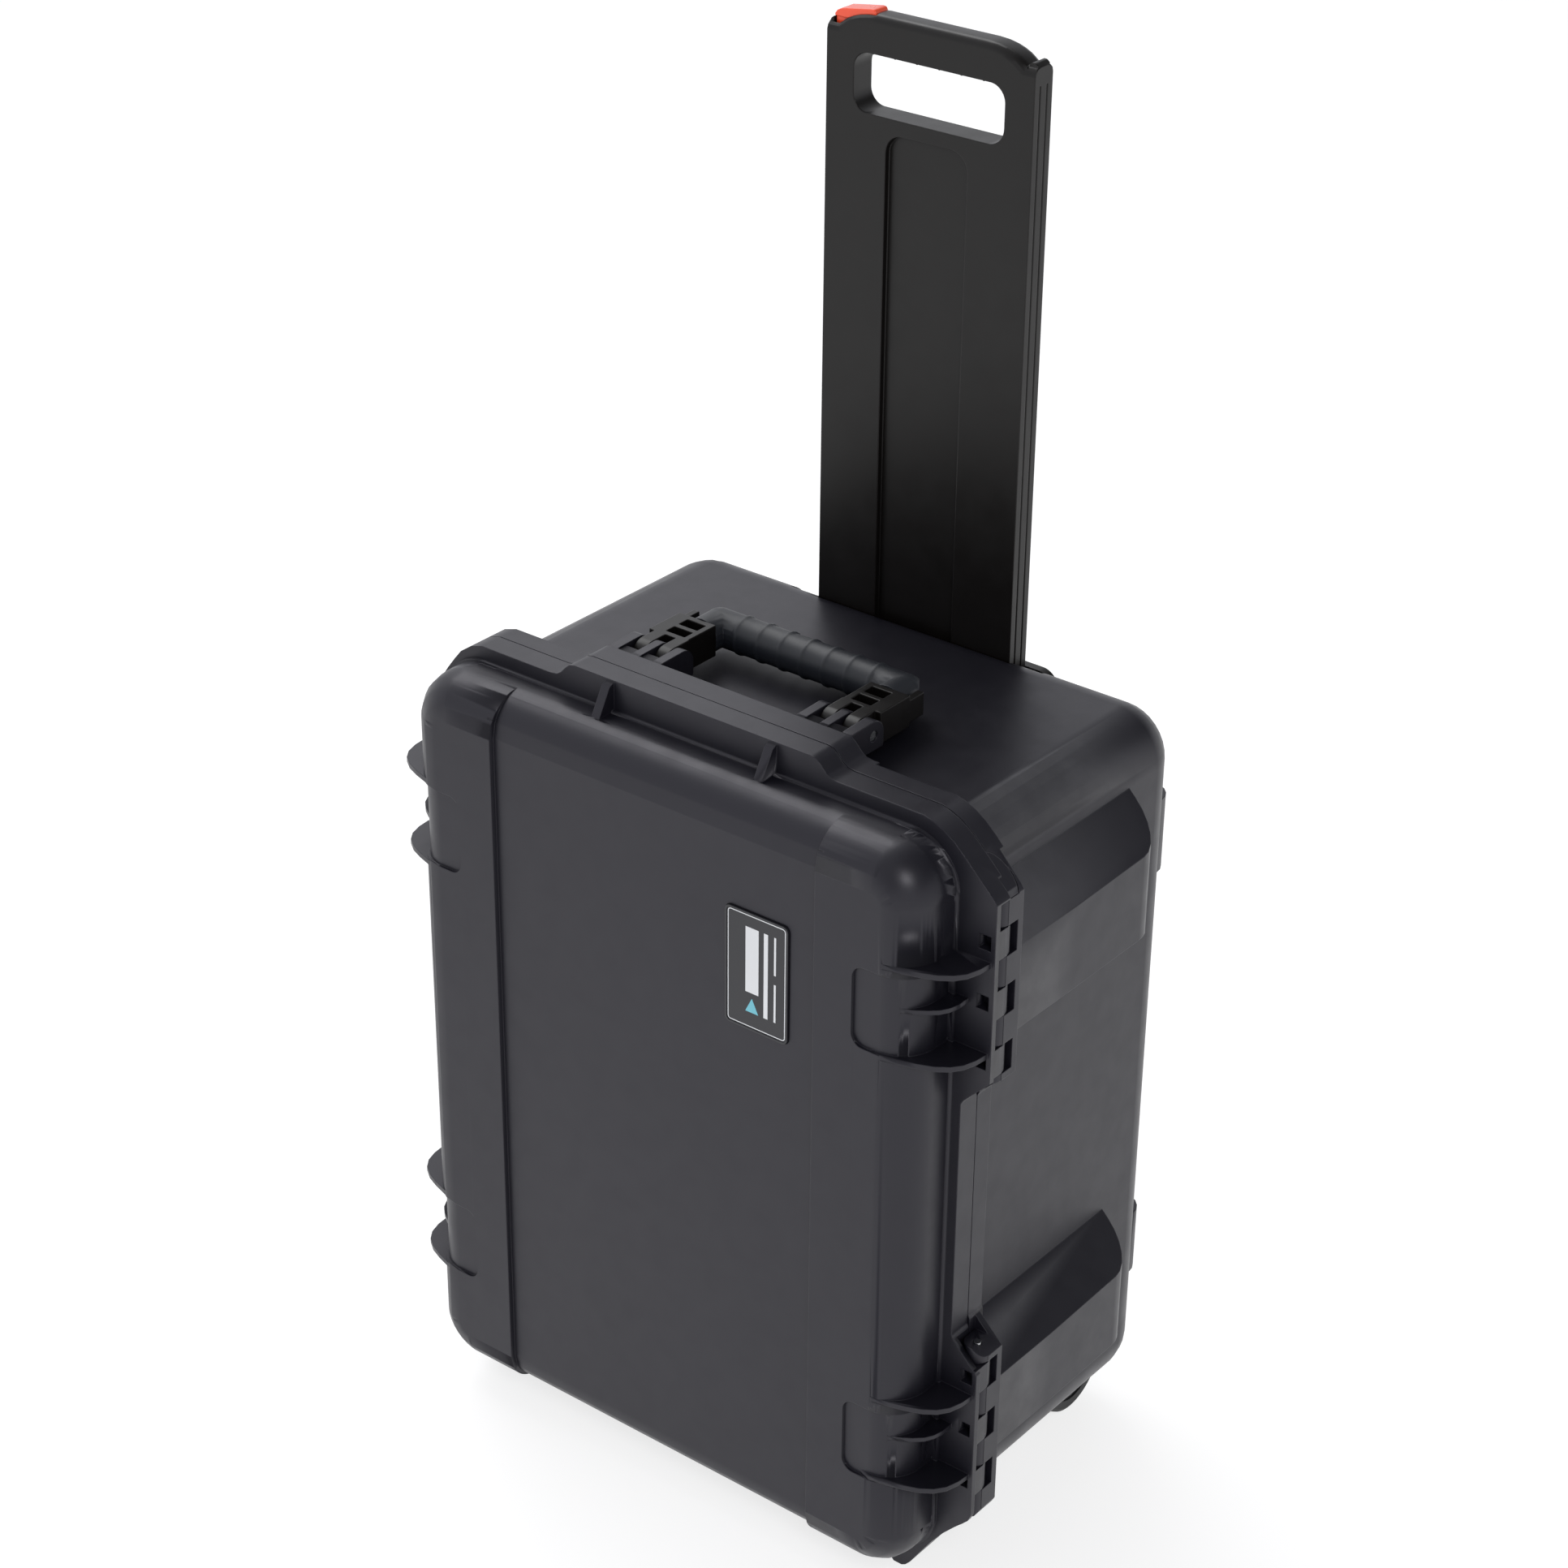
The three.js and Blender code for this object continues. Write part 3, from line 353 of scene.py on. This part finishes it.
def slab(name, outline, front, depth, material, body):
    """A thin printed patch: an outline in X and Z with a soft front edge."""
    data = bpy.data.meshes.new(name)
    work = bmesh.new()
    back = [work.verts.new((x, front + depth, z)) for x, z in outline]
    face = work.faces.new(back)
    pushed = bmesh.ops.extrude_face_region(work, geom=[face])
    moved = [v for v in pushed["geom"] if isinstance(v, bmesh.types.BMVert)]
    bmesh.ops.translate(work, verts=moved, vec=(0, -depth, 0))
    bmesh.ops.recalc_face_normals(work, faces=work.faces)
    edges = [edge for edge in work.edges if all(vertex in moved for vertex in edge.verts)]
    bmesh.ops.bevel(work, geom=edges, offset=depth * 0.5, segments=2, profile=0.5, affect="EDGES")
    work.to_mesh(data)
    work.free()
    data.materials.append(material)
    piece = placed(name, data)
    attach(piece, body)


def bar(x0, x1, z0, z1):
    """Outline of an upright rectangle."""
    return [(x0, z0), (x1, z0), (x1, z1), (x0, z1)]


label_low, label_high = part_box("label_plate")
label_mid = (label_low + label_high) / 2
LABEL_RIM_HEIGHT = 0.5 * MM
PRINT_PROUD = 0.06 * MM
PRINT_DEPTH = 0.12 * MM
plate_front = label_low.y + LABEL_RIM_HEIGHT
print_front = plate_front - PRINT_PROUD
BODY_OF_LABEL = NODES["label_plate"]["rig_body"]


def on_label(outline):
    """An outline in mm about the middle of the label, in the scene's metres."""
    return [(label_mid.x + x * MM, label_mid.z + z * MM) for x, z in outline]


# Thin light line just inside the raised rim of the plate: half width, half height, corner radius.
LINE_OUTSIDE = (20.9, 36.9, 2.2)
LINE_INSIDE = (20.3, 36.3, 1.6)
LINE_DEPTH = 0.1 * MM
CORNER_STEPS = 4


def rounded_outline(half_x, half_z, radius):
    """A rounded rectangle about the middle of the label, with its corners in a few steps."""
    points = []
    for side_x, side_z, start in ((1, 1, 0), (-1, 1, 90), (-1, -1, 180), (1, -1, 270)):
        for step in range(CORNER_STEPS + 1):
            turn = math.radians(start + step * 90 / CORNER_STEPS)
            x = side_x * (half_x - radius) + radius * math.cos(turn)
            z = side_z * (half_z - radius) + radius * math.sin(turn)
            points.append((x, z))
    return on_label(points)


def label_line():
    """The rounded frame that the light line makes."""
    name = "label_line_frame"
    data = bpy.data.meshes.new(name)
    work = bmesh.new()
    back = print_front + LINE_DEPTH
    outer = rounded_outline(*LINE_OUTSIDE)
    inner = rounded_outline(*LINE_INSIDE)
    profile = ((outer, back), (outer, print_front), (inner, print_front), (inner, back))
    rings = [[work.verts.new((x, y, z)) for x, z in ring] for ring, y in profile]
    count = len(outer)
    for a, b in zip(rings, rings[1:] + rings[:1]):
        for i in range(count):
            after = (i + 1) % count
            work.faces.new((a[i], a[after], b[after], b[i]))
    bmesh.ops.recalc_face_normals(work, faces=work.faces)
    work.to_mesh(data)
    work.free()
    data.materials.append(PRINT_WHITE)
    piece = placed(name, data)
    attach(piece, BODY_OF_LABEL)


label_line()
PRINTS = {
    "label_line_wide": (bar(-8, 1.5, -14, 29), PRINT_WHITE),
    "label_line_middle": (bar(5.2, 8.2, -27, 29), PRINT_WHITE),
    "label_line_narrow_1": (bar(12.6, 14, -27, -2), PRINT_WHITE),
    "label_line_narrow_2": (bar(12.6, 14, 4, 29), PRINT_WHITE),
    "label_mark": ([(-8, -27), (1.5, -27), (-3.25, -17.5)], PRINT_BLUE),
}
for name, (outline, material) in PRINTS.items():
    slab(name, on_label(outline), print_front, PRINT_DEPTH, material, BODY_OF_LABEL)


# ---------- floor, light, camera ----------

def plain(name, colour, rough, glow):
    """An even surface that also gives some light of its own."""
    material = bpy.data.materials.new(name)
    material.use_nodes = True
    shader = material.node_tree.nodes["Principled BSDF"]
    shader.inputs["Base Color"].default_value = (*colour, 1)
    shader.inputs["Roughness"].default_value = rough
    shader.inputs["Emission Color"].default_value = WHITE
    shader.inputs["Emission Strength"].default_value = glow
    return material


FLOOR_REACH = 14


def floor():
    """A pale square, much wider than the view."""
    data = bpy.data.meshes.new("floor")
    sides = ((-1, -1), (1, -1), (1, 1), (-1, 1))
    corners = [(x * FLOOR_REACH, y * FLOOR_REACH, 0) for x, y in sides]
    data.from_pydata(corners, [], [(0, 1, 2, 3)])
    data.materials.append(plain("floor_white", (0.36, 0.36, 0.36), 0.6, 0.76))
    placed("floor", data)


def softbox(name, place, target, width, height, watts):
    """A rectangular area light turned to a target."""
    light = bpy.data.lights.new(name, "AREA")
    light.shape = "RECTANGLE"
    light.size = width
    light.size_y = height
    light.energy = watts
    piece = placed(name, light)
    piece.location = place
    piece.rotation_euler = (Vector(target) - Vector(place)).to_track_quat("-Z", "Y").to_euler()


def room():
    """A white room that is darker high up towards +X."""
    world = bpy.data.worlds.new("room")
    world.use_nodes = True
    tree = world.node_tree
    background = tree.nodes["Background"]
    parts = tree.nodes.new("ShaderNodeSeparateXYZ")
    tree.links.new(tree.nodes.new("ShaderNodeTexCoord").outputs["Generated"], parts.inputs["Vector"])
    across = ranged(tree, parts.outputs["X"], 0.95, 0.10, -0.6, 0.35)
    height = ranged(tree, parts.outputs["Z"], 0.0, 1.0, 0.12, 0.38)
    mix = tree.nodes.new("ShaderNodeMix")
    tree.links.new(height, mix.inputs["Factor"])
    mix.inputs["A"].default_value = 0.95
    tree.links.new(across, mix.inputs["B"])
    background.inputs["Color"].default_value = (0.95, 0.96, 1, 1)
    tree.links.new(mix.outputs["Result"], background.inputs["Strength"])
    bpy.context.scene.world = world


floor()
room()
softbox("light_front_right", (1.9, -1.6, 2.3), (0, 0, 0.35), 0.9, 0.9, 26)
softbox("light_top_left", (-1.4, 0.6, 2.6), (0, 0, 0.4), 2.0, 1.6, 30)

AZIMUTH, ELEVATION, ROLL = (math.radians(angle) for angle in (37.91, 29.31, 0.72))
DISTANCE = 1999 * MM
TARGET = ORIGIN + Vector((67.3, 0, 204.5)) * MM
away = Vector((
    math.sin(AZIMUTH) * math.cos(ELEVATION),
    -math.cos(AZIMUTH) * math.cos(ELEVATION),
    math.sin(ELEVATION),
))
level = Vector((math.cos(AZIMUTH), math.sin(AZIMUTH), 0))
upright = away.cross(level)
right = math.cos(ROLL) * level + math.sin(ROLL) * upright
up = math.cos(ROLL) * upright - math.sin(ROLL) * level

lens = bpy.data.cameras.new("photo_camera")
lens.lens = 80.78
lens.sensor_width = 36
lens.shift_x = -0.0098
lens.shift_y = 0.0331
lens.clip_end = 100
camera = placed("photo_camera", lens)
turned = Matrix((right, up, away)).transposed().to_4x4()
camera.matrix_world = Matrix.Translation(TARGET + away * DISTANCE) @ turned

scene = bpy.context.scene
scene.camera = camera
scene.view_settings.view_transform = "Standard"
